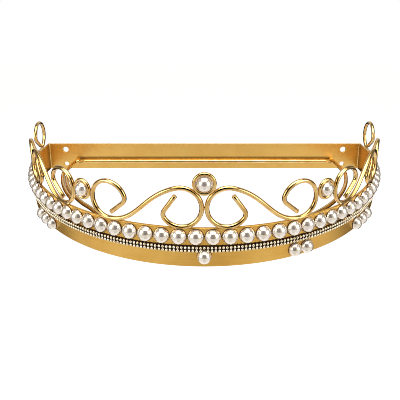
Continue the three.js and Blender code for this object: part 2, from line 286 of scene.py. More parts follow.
stripGold = makeStripMaterial("brushedGoldStrip", strip, strip["bandShades"], strip["bandPaintedShade"])
plateGold = makeStripMaterial("brushedGoldPlate", strip, strip["platePaintedLightShades"], strip["platePaintedShade"])
wireGold = makeWireMaterial(wire)
pearlLacquer = makePearlMaterial(pearl)
beadCoat = makeBeadMaterial(bead)
tapeWithPaintedShade = makeDarkMaterial("tapeWithPaintedShade", tapeAndGapShade)
glueWithPaintedShade = makeDarkMaterial("glueWithPaintedShade", glueAndContactShade)
print("materials made")


# Sizes that several pieces share. Heights are measured up from the lower edge of the strip
band = {
    "radius": 250,
    "height": 41.3,
    "thickness": 2.5,
    "gap": 0.3,  # between the band's ends and the plate, filled by the weld
    "edge": 0.45,  # dressed edge
    "steps": 128,
}
centreY = -(band["thickness"] + band["gap"])
sharpFrom = 12  # degrees, so that a flat face isn't shaded as if it bulged towards its dressed edges


def toFrame(x, y, height):
    return Vector((x * mm, y * mm, (height - band["height"] / 2) * mm))


def aroundBand(angle, radius, height):
    return toFrame(radius * math.sin(angle), centreY - radius * math.cos(angle), height)


# Even points round the band, out to the same angle on both sides
def arcPoints(reach, radius, height, steps):
    return [aroundBand(reach * (2 * i / steps - 1), radius, height) for i in range(steps + 1)]


def addPiece(name, mesh, material, node=None):
    mesh.name = name
    if not mesh.materials:
        mesh.materials.append(material)
    piece = addObject(name, mesh)
    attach(piece, "root")
    if node:
        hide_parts(node)


# The finished shape of an object as a plain mesh, after which the object goes
def plainMesh(holder):
    graph = bpy.context.evaluated_depsgraph_get()
    mesh = bpy.data.meshes.new_from_object(holder.evaluated_get(graph), depsgraph=graph)
    bpy.data.objects.remove(holder)
    return mesh


def reshape(mesh, change):
    shape = bmesh.new()
    shape.from_mesh(mesh)
    change(shape)
    shape.to_mesh(mesh)
    shape.free()
    return mesh


def joinMeshes(meshes):
    def takeIn(shape):
        for other in meshes[1:]:
            shape.from_mesh(other)

    return reshape(meshes[0], takeIn)


def smoothFaces(mesh):
    for face in mesh.polygons:
        face.use_smooth = True


def sharpenEdges(mesh):
    smoothFaces(mesh)
    mesh.set_sharp_from_angle(angle=math.radians(sharpFrom))


# Millimetres along and up the strip, for the brush lines
def layGrain(mesh, alongOf):
    layer = mesh.uv_layers.new(name="grain")
    for loop in mesh.loops:
        p = mesh.vertices[loop.vertex_index].co / mm
        layer.data[loop.index].uv = (alongOf(p), p.z + band["height"] / 2)


def treeOf(name, inputs):
    tree = bpy.data.node_groups.new(name, "GeometryNodeTree")
    tree.interface.new_socket("Geometry", in_out="INPUT", socket_type="NodeSocketGeometry")
    for label, kind in inputs.items():
        tree.interface.new_socket(label, in_out="INPUT", socket_type=f"NodeSocket{kind}")
    tree.interface.new_socket("Geometry", in_out="OUTPUT", socket_type="NodeSocketGeometry")
    return tree, tree.nodes.new("NodeGroupInput").outputs


def endTree(tree, given, geometry):
    made = addNode(tree, "GeometryNodeRealizeInstances", {"Geometry": geometry})
    smooth = addNode(tree, "GeometryNodeSetShadeSmooth", {
        "Geometry": made.outputs["Geometry"], "Shade Smooth": True})
    painted = addNode(tree, "GeometryNodeSetMaterial", {
        "Geometry": smooth.outputs["Geometry"], "Material": given["Material"]})
    addNode(tree, "NodeGroupOutput", {"Geometry": painted.outputs["Geometry"]})


# Runs a tree on a carrier mesh and returns what it made as a plain mesh
def runTree(tree, carrier, values):
    holder = addObject("carrier", carrier)
    modifier = holder.modifiers.new("tree", "NODES")
    modifier.node_group = tree
    for item in tree.interface.items_tree:
        if item.in_out == "INPUT" and item.name in values:
            modifier[item.identifier] = values[item.name]
    return plainMesh(holder)


# A chain of points as edges, each with the share of the wire's radius there
def chain(points, shares=None, closed=False):
    mesh = bpy.data.meshes.new("chain")
    count = len(points)
    edges = [(i, (i + 1) % count) for i in range(count if closed else count - 1)]
    mesh.from_pydata([tuple(p) for p in points], edges, [])
    share = mesh.attributes.new("share", "FLOAT", "POINT")
    share.data.foreach_set("value", shares or [1.0] * count)
    return mesh


def makeWireTree():
    tree, given = treeOf("wireAlongPath", {"Radius": "Float", "Sides": "Int", "Material": "Material"})
    path = addNode(tree, "GeometryNodeMeshToCurve", {"Mesh": given["Geometry"]})
    section = addNode(tree, "GeometryNodeCurvePrimitiveCircle", {
        "Resolution": given["Sides"], "Radius": given["Radius"]})
    share = addNode(tree, "GeometryNodeInputNamedAttribute", {"Name": "share"})
    swept = addNode(tree, "GeometryNodeCurveToMesh", {
        "Curve": path.outputs["Curve"], "Profile Curve": section.outputs["Curve"],
        "Scale": share.outputs["Attribute"], "Fill Caps": True})
    endTree(tree, given, swept.outputs["Mesh"])
    return tree


def makeStripTree():
    tree, given = treeOf("stripAlongPath", {
        "Height": "Float", "Thickness": "Float", "Edge": "Float", "Material": "Material"})
    path = addNode(tree, "GeometryNodeMeshToCurve", {"Mesh": given["Geometry"]})
    section = addNode(tree, "GeometryNodeCurvePrimitiveQuadrilateral", {
        "Width": given["Thickness"], "Height": given["Height"]})
    eased = addNode(tree, "GeometryNodeFilletCurve", {
        "Curve": section.outputs["Curve"], "Count": 3, "Radius": given["Edge"]}, mode="POLY")
    swept = addNode(tree, "GeometryNodeCurveToMesh", {
        "Curve": path.outputs["Curve"], "Profile Curve": eased.outputs["Curve"], "Fill Caps": True})
    endTree(tree, given, swept.outputs["Mesh"])
    return tree


wireTree = makeWireTree()
stripTree = makeStripTree()
cut = {"chamfer": 0.35, "endShare": 0.84}  # length of the chamfer, and share of the radius at its tip


# Wire cut square, with the burr taken off: the last points step in to a small chamfer
def cutEnds(points):
    first = points[0] + (points[1] - points[0]).normalized() * cut["chamfer"] * mm
    last = points[-1] + (points[-2] - points[-1]).normalized() * cut["chamfer"] * mm
    inner = [first, *points[1:-1], last]
    shares = [cut["endShare"], *[1.0] * len(inner), cut["endShare"]]
    return [points[0], *inner, points[-1]], shares


def wireMesh(points, radius, sides=24, closed=False):
    shares = None
    if not closed:
        points, shares = cutEnds(points)
    values = {"Radius": radius * mm, "Sides": sides, "Material": wireGold}
    return runTree(wireTree, chain(points, shares, closed), values)


def stripMesh(points, height, thickness, edge, material):
    values = {"Height": height * mm, "Thickness": thickness * mm, "Edge": edge * mm, "Material": material}
    mesh = runTree(stripTree, chain(points), values)
    sharpenEdges(mesh)
    return mesh


# Wall plate: a length of the same strip with two screw holes at each end
plate = {
    "upperHole": 4.5,
    "upperSides": 40,
    "upperFromTop": 9.5,
    "lowerHole": 3.6,
    "lowerSides": 36,
    "lowerFromBottom": 7.5,
    "holeFromEnd": 28,
    "edge": 0.35,
    "edgeSteps": 2,
    "merge": 0.01,  # points nearer than this are one
}


def addLoop(curve, points):
    spline = curve.splines.new("POLY")
    spline.points.add(len(points) - 1)
    spline.use_cyclic_u = True
    for point, (x, y) in zip(spline.points, points):
        point.co = (x * mm, y * mm, 0, 1)


# Clockwise, because it is a hole
def holePoints(x, y, radius, count):
    turns = [-math.tau * i / count for i in range(count)]
    return [(x + radius * math.cos(turn), y + radius * math.sin(turn)) for turn in turns]


def makePlate(p):
    curve = bpy.data.curves.new("plateOutline", "CURVE")
    curve.dimensions = "2D"
    curve.fill_mode = "BOTH"
    half, low, high = band["radius"], -band["height"] / 2, band["height"] / 2
    addLoop(curve, [(-half, low), (half, low), (half, high), (-half, high)])
    for side in (-1, 1):
        x = side * (half - p["holeFromEnd"])
        addLoop(curve, holePoints(x, high - p["upperFromTop"], p["upperHole"], p["upperSides"]))
        addLoop(curve, holePoints(x, low + p["lowerFromBottom"], p["lowerHole"], p["lowerSides"]))
    curve.bevel_depth = p["edge"] * mm
    curve.bevel_resolution = p["edgeSteps"]
    curve.offset = -p["edge"] * mm
    curve.extrude = (band["thickness"] / 2 - p["edge"]) * mm
    mesh = plainMesh(addObject("plateOutline", curve))
    upright = Matrix.Rotation(math.radians(90), 4, "X")
    mesh.transform(Matrix.Translation((0, -band["thickness"] / 2 * mm, 0)) @ upright)

    def close(shape):
        bmesh.ops.remove_doubles(shape, verts=shape.verts, dist=p["merge"] * mm)
        bmesh.ops.recalc_face_normals(shape, faces=shape.faces)

    reshape(mesh, close)
    mesh.materials.clear()
    sharpenEdges(mesh)
    layGrain(mesh, lambda point: point.x)
    addPiece("wallPlate", mesh, plateGold, "wall_plate")


makePlate(plate)
print("wall plate made")


# Band: strip rolled to a half circle, with dressed edges
def makeBand(b):
    points = arcPoints(math.pi / 2, b["radius"] - b["thickness"] / 2, b["height"] / 2, b["steps"])
    mesh = stripMesh(points, b["height"], b["thickness"], b["edge"], stripGold)
    layGrain(mesh, lambda point: b["radius"] * math.atan2(point.x, centreY - point.y))
    addPiece("frontBand", mesh, stripGold, "front_band")


makeBand(band)
print("band made")


# Curtain rod: a bar on the plate, a hoop inside the band and a short leg that the hoop's end laps
rod = {
    "wire": 2.5,
    "bar": 3.0,
    "height": 13.3,
    "fromBand": 33,  # between the band's inner face and the middle of the wire
    "legInset": 8.5,  # from the hoop's widest place to where a leg meets the wall
    "cornerReach": 5.5,  # of the left leg along the plate
    "legAngle": 76.5,  # degrees from the middle of the band, as the next three
    "hoopEnd": 72,
    "joggle": (29, 45),  # where the hoop steps in to lie beside the leg
    "lapEnd": 52,
    "arcStep": 1.5,  # degrees
    "joggleSteps": 12,
    "cornerSteps": 8,
    "barSteps": 40,
}


def cubic(a, b, c, d, count):
    points = []
    for i in range(1, count + 1):
        t = i / count
        u = 1 - t
        points.append(a * u**3 + b * (3 * u * u * t) + c * (3 * u * t * t) + d * t**3)
    return points


def bend(a, b, c, count):
    points = []
    for i in range(count + 1):
        t = i / count
        points.append(a * (1 - t) ** 2 + b * (2 * t * (1 - t)) + c * t * t)
    return points


def makeRod(r):
    arc = band["radius"] - band["thickness"] - r["fromBand"]
    lap = arc - 2 * r["wire"] - band["gap"]
    fromMiddle = arc - r["legInset"]
    wallEnd = centreY - r["wire"]

    def at(degrees, radius=arc):
        return aroundBand(math.radians(degrees), radius, r["height"])

    def sweep(start, end, radius=arc):
        count = max(2, round(abs(end - start) / r["arcStep"]))
        return [at(start + (end - start) * i / count, radius) for i in range(count + 1)]

    def add(name, node, points, radius):
        addPiece(name, wireMesh(points, radius), wireGold, node)

    start, end = r["joggle"]
    half = (start + end) / 2
    hoop = [toFrame(fromMiddle, centreY, r["height"])] + sweep(r["legAngle"], -start)
    hoop += cubic(at(-start), at(-half), at(-half, lap), at(-end, lap), r["joggleSteps"])
    hoop += sweep(-end, -r["hoopEnd"], lap)[1:]
    add("rodHoop", "rod_hoop", hoop, r["wire"])

    barRight = fromMiddle - r["wire"] - band["gap"]
    barLeft = r["cornerReach"] + band["gap"] - fromMiddle
    barPlaces = [barLeft + (barRight - barLeft) * i / r["barSteps"] for i in range(r["barSteps"] + 1)]
    bar = [toFrame(x, centreY - r["bar"], r["height"]) for x in barPlaces]
    add("rodBackBar", "rod_back_bar", bar, r["bar"])

    legEnd = Vector((barLeft - band["gap"], wallEnd))
    corner = bend(Vector((r["wire"] - fromMiddle, wallEnd)), Vector((-fromMiddle, wallEnd)),
                  Vector((-fromMiddle, wallEnd - r["wire"])), r["cornerSteps"])
    leg = [toFrame(*p, r["height"]) for p in [legEnd, *corner]] + sweep(-r["legAngle"], -r["lapEnd"])
    add("rodLeftLeg", "rod_left_leg", leg, r["wire"])


makeRod(rod)
print("curtain rod made")


# Scrolls: each is one wire, drawn flat as arc length and height, then wrapped round the band
scroll = {
    "wire": 2.3,
    "open": 20.1,  # radius of the open loops, then of the closed ones and of the rear ones
    "closed": 19.65,
    "rear": 21.3,
    "foot": 1.6,  # depth that the wire is filed flat where it stands on the band
    "setBack": 0.5,  # of the wire's middle from the band's outer face
    "wallMargin": 9,  # between the rear loop and the wall
    "bend": 5,  # length of the bend between a loop and its tail
    "openAngles": (-22, 75),  # where the tail bends off and where the S leaves
    "openTail": (67, 13),  # angle and distance from the loop's middle at which the tail ends
    "closedAngles": (-90, 176),  # where the S enters and where the tail bends off
    "closedTail": (-103, 13),
    "longTail": (-86, 14.2),  # on the side and rear scrolls
    "handles": (0.45, 0.43),  # how far each loop leads the S, as shares of its span
    "spans": (0.337, 0.318, 0.345),  # how the front, side and rear scrolls share the length left
    "loopStep": 4,  # degrees
    "bendSteps": 6,
    "spanSteps": 40,
}
ring = {
    "wire": 1.8,
    "wireSides": 18,
    "steps": 72,
    "pearl": 7.7,
    "pearlSides": (48, 28),
    "aboveFoot": 24.1,
    "crestForward": 1.7,  # the crest ring rests on the fronts of the two loops
}
wrapRadius = band["radius"] - scroll["setBack"]
footHeight = band["height"] + scroll["wire"] - scroll["foot"]
ringHeight = footHeight + ring["aboveFoot"]
ringRadius = ring["pearl"] + band["gap"] + ring["wire"]


# Loops stand one gap apart and rings touch their loops; the scrolls share what is left of the arc
def layOutSide(s):
    ringReach = s["closed"] + s["wire"] + ringRadius + ring["wire"] + band["gap"]
    ringStep = math.sqrt(ringReach**2 - (ringHeight - footHeight - s["closed"]) ** 2)
    first = s["open"] + s["wire"] + band["gap"] / 2
    rearReach = s["rear"] + s["wire"]
    free = math.pi / 2 * wrapRadius - first - 2 * ringStep - 2 * first - rearReach - s["wallMargin"]
    front, side, rear = [share * free for share in s["spans"]]
    places = {"first": first, "frontClosed": first + front}
    places["ring"] = places["frontClosed"] + ringStep
    places["sideClosed"] = places["ring"] + ringStep
    places["sideOpen"] = places["sideClosed"] + side
    places["rearOpen"] = places["sideOpen"] + 2 * first
    places["rearClosed"] = places["rearOpen"] + rear
    return places


# A loop is its middle's place along the arc, its radius and the way it turns
def scrollPath(s, openLoop, closedLoop, closedTail):
    def at(loop, degrees, radius=None):
        centre, size, way = loop
        reach = radius or size
        angle = math.radians(degrees)
        return Vector((centre + way * reach * math.cos(angle), footHeight + size + reach * math.sin(angle)))

    def heading(loop, degrees):
        angle = math.radians(degrees)
        return Vector((-loop[2] * math.sin(angle), math.cos(angle)))

    def sweep(loop, start, end):
        count = round(abs(end - start) / s["loopStep"])
        return [at(loop, start + (end - start) * i / count) for i in range(count + 1)]

    bendOff, leave = s["openAngles"]
    turn = math.degrees(s["bend"] / openLoop[1])
    tail, corner = at(openLoop, *s["openTail"]), at(openLoop, bendOff)
    ease = corner + (tail - corner).normalized() * s["bend"]
    points = [tail, (tail * 2 + ease) / 3, (tail + ease * 2) / 3]
    points += bend(ease, corner, at(openLoop, bendOff - turn), s["bendSteps"])[:-1]
    points += sweep(openLoop, bendOff - turn, leave - 360)
    enter, closeOff = s["closedAngles"]
    span = abs(closedLoop[0] - openLoop[0])
    a, d = at(openLoop, leave), at(closedLoop, enter)
    b = a - heading(openLoop, leave) * (s["handles"][0] * span)
    c = d - heading(closedLoop, enter) * (s["handles"][1] * span)
    points += cubic(a, b, c, d, s["spanSteps"])
    turn = math.degrees(s["bend"] / closedLoop[1])
    tail, corner = at(closedLoop, *closedTail), at(closedLoop, closeOff)
    ease = corner + (tail - corner).normalized() * s["bend"]
    points += sweep(closedLoop, enter, closeOff - turn)[1:]
    points += bend(at(closedLoop, closeOff - turn), corner, ease, s["bendSteps"])[1:]
    return points + [(tail + ease * 2) / 3, (tail * 2 + ease) / 3, tail]


def makeScrolls(s, places):
    paths = {
        "front": ((places["first"], s["open"], 1), (places["frontClosed"], s["closed"], 1), s["closedTail"]),
        "side": ((places["sideOpen"], s["open"], -1), (places["sideClosed"], s["closed"], -1), s["longTail"]),
        "rear": ((places["rearOpen"], s["open"], 1), (places["rearClosed"], s["rear"], 1), s["longTail"]),
    }
    bandTop = band["height"] / 2 * mm  # the wire's underside is filed flat here
    for part, (openLoop, closedLoop, closedTail) in paths.items():
        flat = scrollPath(s, openLoop, closedLoop, closedTail)
        for hand, side in (("Left", -1), ("Right", 1)):
            wrapped = [aroundBand(side * p.x / wrapRadius, wrapRadius, p.y) for p in flat]
            mesh = wireMesh(wrapped, s["wire"])
            for vertex in mesh.vertices:
                vertex.co.z = max(vertex.co.z, bandTop)
            node = f"scroll_{part}_{hand.lower()}"
            addPiece(f"{part}Scroll{hand}", mesh, wireGold, node)


places = layOutSide(scroll)
makeScrolls(scroll, places)
print("scrolls made")


# Rings of thinner wire, each round a pearl
def ballMesh(centre, radii, axes, across, down):
    turn = Matrix(axes).transposed().to_4x4()
    size = Matrix.Diagonal((*[r * mm for r in radii], 1))

    def swell(shape):
        bmesh.ops.create_uvsphere(shape, u_segments=across, v_segments=down, radius=1)
        bmesh.ops.transform(shape, matrix=Matrix.Translation(centre) @ turn @ size, verts=shape.verts)

    mesh = reshape(bpy.data.meshes.new("ball"), swell)
    smoothFaces(mesh)
    return mesh


# Directions along the band, out of it and up
def axesAt(angle):
    along = Vector((math.cos(angle), math.sin(angle), 0))
    out = Vector((math.sin(angle), -math.cos(angle), 0))
    return along, out, Vector((0, 0, 1))


def makeRing(name, ringNode, pearlNode, place, height, forward=0):
    angle = place / wrapRadius
    along, out, up = axesAt(angle)
    centre = aroundBand(angle, wrapRadius + forward, height)
    turns = [math.tau * i / ring["steps"] for i in range(ring["steps"])]
    loop = [centre + (along * math.cos(t) + up * math.sin(t)) * ringRadius * mm for t in turns]
    wound = wireMesh(loop, ring["wire"], ring["wireSides"], closed=True)
    addPiece(f"{name}Ring", wound, wireGold, ringNode)
    ball = ballMesh(centre, [ring["pearl"]] * 3, (along, up, -out), *ring["pearlSides"])
    addPiece(f"{name}Pearl", ball, pearlLacquer, pearlNode)


wireStep = scroll["wire"] + ring["wire"] + band["gap"]
contact = scroll["open"] + ringRadius + math.sqrt(wireStep**2 - ring["crestForward"] ** 2)
crestHeight = footHeight + scroll["open"] + math.sqrt(contact**2 - places["first"] ** 2)
makeRing("left", "ring_left", "ring_pearl_left", -places["ring"], ringHeight)
makeRing("right", "ring_right", "ring_pearl_right", places["ring"], ringHeight)
makeRing("crest", "crest_ring", "crest_pearl", 0, crestHeight, ring["crestForward"])
print("rings made")


# Half-round pearls glued on the band: one row on a thread, and small ones below the bead rows
halfPearl = {
    "rise": 6.9,
    "edge": 0.5,  # rounded rim where the bead meets the band
    "foot": [(0.06, 0.225), (-0.1, 0), (-0.5, -0.35)],  # out from the rim and up, down into the glue
}
row = {
    "width": 16,
    "sides": 36,
    "steps": 10,
    "pitch": 16.7,
    "fromTop": 9,
    "thread": 0.2,  # radius
    "threadSides": 8,
    "threadSteps": 120,
}
small = {
    "width": 14.5,
    "sides": 40,
    "steps": 14,
    "centreLap": 2.4,  # how far the centre pearl laps over the lower beads
    "pairFromCentre": 94.2,
    "pairPitch": 14.8,
    "pairDrop": 1.05,
    "trioFromCentre": 193.3,
    "trioPitch": 16,
    "trioDrop": 2.45,
}
glueShadeRim = {"rim": 0.35, "rise": 0.6, "inset": 0.12, "slope": 0.8, "sides": 28}  # slope is a share of the rim
faceRadius = band["radius"] + band["gap"]


# A half pearl with its flat back on the plane y = 0, bulging towards -y
def domeMesh(width, sides, steps):
    rise = halfPearl["rise"]
    ball = ((width / 2) ** 2 + rise**2) / (2 * rise)
    limit = math.acos((ball - rise + halfPearl["edge"]) / ball)
    angles = [limit * i / steps for i in range(1, steps + 1)]
    profile = [(ball * math.sin(angle), ball * math.cos(angle) - (ball - rise)) for angle in angles]
    rim = profile[-1][0]
    profile += [(rim + out, up) for out, up in halfPearl["foot"]]
    points = [(0, -rise * mm, 0)]
    for radius, height in profile:
        for i in range(sides):
            turn = math.tau * i / sides
            points.append((radius * mm * math.cos(turn), -height * mm, radius * mm * math.sin(turn)))
    faces = [(0, 1 + i, 1 + (i + 1) % sides) for i in range(sides)]
    for k in range(len(profile) - 1):
        a = 1 + k * sides
        for i in range(sides):
            j = (i + 1) % sides
            faces.append((a + i, a + sides + i, a + sides + j, a + j))
    last = 1 + (len(profile) - 1) * sides
    faces.append(tuple(last + i for i in range(sides)))
    mesh = bpy.data.meshes.new("halfPearl")
    mesh.from_pydata(points, [], faces)
    reshape(mesh, lambda shape: bmesh.ops.recalc_face_normals(shape, faces=shape.faces))
    smoothFaces(mesh)
    return mesh


# The low fillet of glue round a half pearl, dark as painted contact shadow where the pearl meets the band
def glueAndShadeMesh(width):
    foot = (width / 2 + glueShadeRim["rim"]) * mm
    top = foot - glueShadeRim["rim"] * glueShadeRim["slope"] * mm
    mesh = reshape(bpy.data.meshes.new("glueAndShadeRimMesh"), lambda shape: bmesh.ops.create_cone(
        shape, cap_ends=True, segments=glueShadeRim["sides"], radius1=foot, radius2=top, depth=glueShadeRim["rise"] * mm))
    mesh.transform(Matrix.Translation((0, glueShadeRim["inset"] * mm, 0)) @ Matrix.Rotation(math.radians(90), 4, "X"))
    return mesh


# Copies of one object set side by side round the band, evenly in arc length
def makeRowTree():
    tree, given = treeOf("rowRoundBand", {
        "Bead": "Object", "Count": "Int", "Pitch Angle": "Float", "Radius": "Float",
        "Centre Y": "Float", "Height": "Float", "Material": "Material"})
    points = addNode(tree, "GeometryNodePoints", {"Count": given["Count"]})
    index = addNode(tree, "GeometryNodeInputIndex").outputs["Index"]
    radius, pitch = given["Radius"], given["Pitch Angle"]
    last = addNode(tree, "ShaderNodeMath", {0: given["Count"], 1: 1.0}, operation="SUBTRACT").outputs[0]
    middle = addNode(tree, "ShaderNodeMath", {0: last, 1: 0.5}, operation="MULTIPLY").outputs[0]
    step = addNode(tree, "ShaderNodeMath", {0: index, 1: middle}, operation="SUBTRACT").outputs[0]
    angle = addNode(tree, "ShaderNodeMath", {0: step, 1: pitch}, operation="MULTIPLY").outputs[0]
    sine = addNode(tree, "ShaderNodeMath", {0: angle}, operation="SINE").outputs[0]
    cosine = addNode(tree, "ShaderNodeMath", {0: angle}, operation="COSINE").outputs[0]
    x = addNode(tree, "ShaderNodeMath", {0: sine, 1: radius}, operation="MULTIPLY").outputs[0]
    forward = addNode(tree, "ShaderNodeMath", {0: cosine, 1: radius}, operation="MULTIPLY").outputs[0]
    y = addNode(tree, "ShaderNodeMath", {0: given["Centre Y"], 1: forward}, operation="SUBTRACT").outputs[0]
    place = addNode(tree, "ShaderNodeCombineXYZ", {"X": x, "Y": y, "Z": given["Height"]})
    moved = addNode(tree, "GeometryNodeSetPosition", {
        "Geometry": points.outputs[0], "Position": place.outputs[0]})
    turn = addNode(tree, "ShaderNodeCombineXYZ", {"Z": angle})
    source = addNode(tree, "GeometryNodeObjectInfo", {"Object": given["Bead"], "As Instance": False})
    spread = addNode(tree, "GeometryNodeInstanceOnPoints", {
        "Points": moved.outputs[0], "Instance": source.outputs["Geometry"], "Rotation": turn.outputs[0]})
    endTree(tree, given, spread.outputs[0])
    return tree


rowTree = makeRowTree()


def rowMesh(beadMesh, count, pitch, radius, height, material):
    sample = addObject("sample", beadMesh)
    mesh = runTree(rowTree, bpy.data.meshes.new("seed"), {
        "Bead": sample, "Count": count, "Pitch Angle": pitch / radius, "Radius": radius * mm,
        "Centre Y": centreY * mm, "Height": (height - band["height"] / 2) * mm, "Material": material})
    bpy.data.objects.remove(sample)
    return mesh


# Bead rows: two lines of tiny metal-coated beads fused on a tape, dark as painted shade between and under
# them
trim = {
    "bead": 1.42,  # radius
    "beadSides": (10, 6),
    "strand": 1.55,  # half the height that a row takes up
    "rowPitch": 3.4,
    "pitch": 3.7,
    "belowPearls": 1.15,
    "tapeThickness": 0.5,
    "tapeEdge": 0.12,
    # The dark tape reaches past the rows to lay painted shade under the pearls
    "tapeOver": 0.3,  # past the rows
    "tapeDrop": 0.25,  # lower than the rows
    "tapeShare": 0.994,  # of the way to the wall
    "tapeSteps": 120,
}
pearlHeight = band["height"] - row["fromTop"]
trimReach = trim["rowPitch"] / 2 + trim["strand"]
trimHeight = pearlHeight - row["width"] / 2 - trim["belowPearls"] - trimReach


def makePearlRow(r):
    count = 2 * math.floor(math.pi / 2 * faceRadius / r["pitch"])
    dome = domeMesh(r["width"], r["sides"], r["steps"])
    pearls = rowMesh(dome, count, r["pitch"], faceRadius, pearlHeight, pearlLacquer)
    reach = (count - 1) / 2 * r["pitch"] / faceRadius
    path = arcPoints(reach, faceRadius + r["thread"], pearlHeight, r["threadSteps"])
    # The thread is drawn in the glue's dark brown, as painted shade between the pearls
    values = {"Radius": r["thread"] * mm, "Sides": r["threadSides"], "Material": glueWithPaintedShade}
    addPiece("pearlThread", runTree(wireTree, chain(path), values), glueWithPaintedShade)
    # Dark rims round the row's pearls: glue, and painted contact shadow
    rims = rowMesh(glueAndShadeMesh(r["width"]), count, r["pitch"], faceRadius, pearlHeight, glueWithPaintedShade)
    addPiece("pearlRowGlue", rims, glueWithPaintedShade)
    addPiece("pearlRow", pearls, pearlLacquer, "pearl_row")


# Takes out the bead that the centre pearl sits on
def clearMiddle(mesh, halfWidth):
    def clear(shape):
        hidden = [v for v in shape.verts if abs(v.co.x) < halfWidth * mm]
        bmesh.ops.delete(shape, geom=hidden, context="VERTS")

    reshape(mesh, clear)


def makeBeadRows(t):
    across, down = t["beadSides"]
    beadMesh = reshape(bpy.data.meshes.new("bead"), lambda shape: bmesh.ops.create_uvsphere(
        shape, u_segments=across, v_segments=down, radius=t["bead"] * mm))
    radius = faceRadius + t["strand"]
    count = math.floor((math.pi * radius - 2 * t["bead"]) / t["pitch"])
    count -= 1 - count % 2
    for name, node, side in (("upperBeads", "bead_trim_upper", 1), ("lowerBeads", "bead_trim_lower", -1)):
        height = trimHeight + side * t["rowPitch"] / 2
        mesh = rowMesh(beadMesh, count, t["pitch"], radius, height, beadCoat)
        if side < 0:
            clearMiddle(mesh, t["pitch"] / 2)
        addPiece(name, mesh, beadCoat, node)
    # The tape's dark colour is painted shade behind and between the beads
    middle = band["radius"] + t["tapeThickness"] / 2
    path = arcPoints(math.pi / 2 * t["tapeShare"], middle, trimHeight - t["tapeDrop"], t["tapeSteps"])
    width = 2 * (trimReach + t["tapeOver"])
    mesh = stripMesh(path, width, t["tapeThickness"], t["tapeEdge"], tapeWithPaintedShade)
    addPiece("beadTape", mesh, tapeWithPaintedShade)


def makeSmallPearls(s):
    rims = []

    def add(name, node, along, drop):
        height = trimHeight - trimReach - band["gap"] - s["width"] / 2 - drop
        angle = along / faceRadius
        mesh, rim = domeMesh(s["width"], s["sides"], s["steps"]), glueAndShadeMesh(s["width"])
        for part in (mesh, rim):
            place = Matrix.Translation(aroundBand(angle, faceRadius, height))
            part.transform(place @ Matrix.Rotation(angle, 4, "Z"))
        addPiece(name, mesh, pearlLacquer, node)
        rims.append(rim)

    add("centreBandPearl", "band_pearl_centre", 0, -s["centreLap"])
    add("pairPearlA", "band_pearl_right_a", s["pairFromCentre"], s["pairDrop"])
    add("pairPearlB", "band_pearl_right_b", s["pairFromCentre"] + s["pairPitch"], s["pairDrop"])
    for hand, side in (("Left", -1), ("Right", 1)):
        for i, letter in enumerate("abc"):
            along = side * (s["trioFromCentre"] + i * s["trioPitch"])
            name, node = f"endPearl{hand}{letter.upper()}", f"end_pearl_{hand.lower()}_{letter}"
            add(name, node, along, s["trioDrop"])
    # The small pearls' dark rims: glue, and painted contact shadow
    addPiece("smallPearlGlue", joinMeshes(rims), glueWithPaintedShade)


makePearlRow(row)
makeBeadRows(trim)
makeSmallPearls(small)
print("pearls and beads made")


# Joints: soft solder where loops stand on the band and where loops touch, weld in the corners
joints = {
    "foot": (5.2, 1.19, 1.1),  # along the band, across it and up
    "footSides": (20, 12),
    "footLift": 0.1,
    "touch": (1.1, 1.1, 2.2),
    "touchSides": (16, 12),
    "weldRadius": 1.5,
    "weldSides": 16,
    "weldSteps": 30,
    "weldInset": 0.6,  # from the strip's edges
    "weldLift": 0.2,  # off the plate
    "ripple": (0.94, 0.08, 1.9),  # even share of the radius, swing round it and pace of the swing
    "weldEnd": 0.5,
}


def makeJoints(j):
    blobs = []

    def addBlob(place, radius, height, size, sides):
        angle = place / wrapRadius
        along, out, up = axesAt(angle)
        blobs.append(ballMesh(aroundBand(angle, radius, height), size, (along, -out, up), *sides))

    middle = band["radius"] - band["thickness"] / 2
    touchHeight = footHeight + scroll["open"]
    backTouch = (places["sideOpen"] + places["rearOpen"]) / 2
    for side in (-1, 1):
        for stop in ("first", "frontClosed", "sideClosed", "sideOpen", "rearOpen", "rearClosed"):
            lifted = band["height"] + j["footLift"]
            addBlob(side * places[stop], middle, lifted, j["foot"], j["footSides"])
        if side > 0:
            addBlob(0, wrapRadius, touchHeight, j["touch"], j["touchSides"])
        addBlob(side * backTouch, wrapRadius, touchHeight, j["touch"], j["touchSides"])
    addPiece("solderJoints", joinMeshes(blobs), wireGold)

    welds = []
    steps = j["weldSteps"]
    even, swing, pace = j["ripple"]
    for side in (-1, 1):
        x = side * (band["radius"] - band["thickness"])
        y = -band["thickness"] - j["weldLift"]
        inset, length = j["weldInset"], band["height"] - 2 * j["weldInset"]
        path = [toFrame(x, y, inset + length * i / steps) for i in range(steps + 1)]
        shares = [even + swing * math.sin(pace * i) for i in range(steps + 1)]
        shares[0] = shares[-1] = j["weldEnd"]
        values = {"Radius": j["weldRadius"] * mm, "Sides": j["weldSides"], "Material": wireGold}
        welds.append(runTree(wireTree, chain(path, shares), values))
    addPiece("cornerWelds", joinMeshes(welds), wireGold)


makeJoints(joints)
print("joints made")


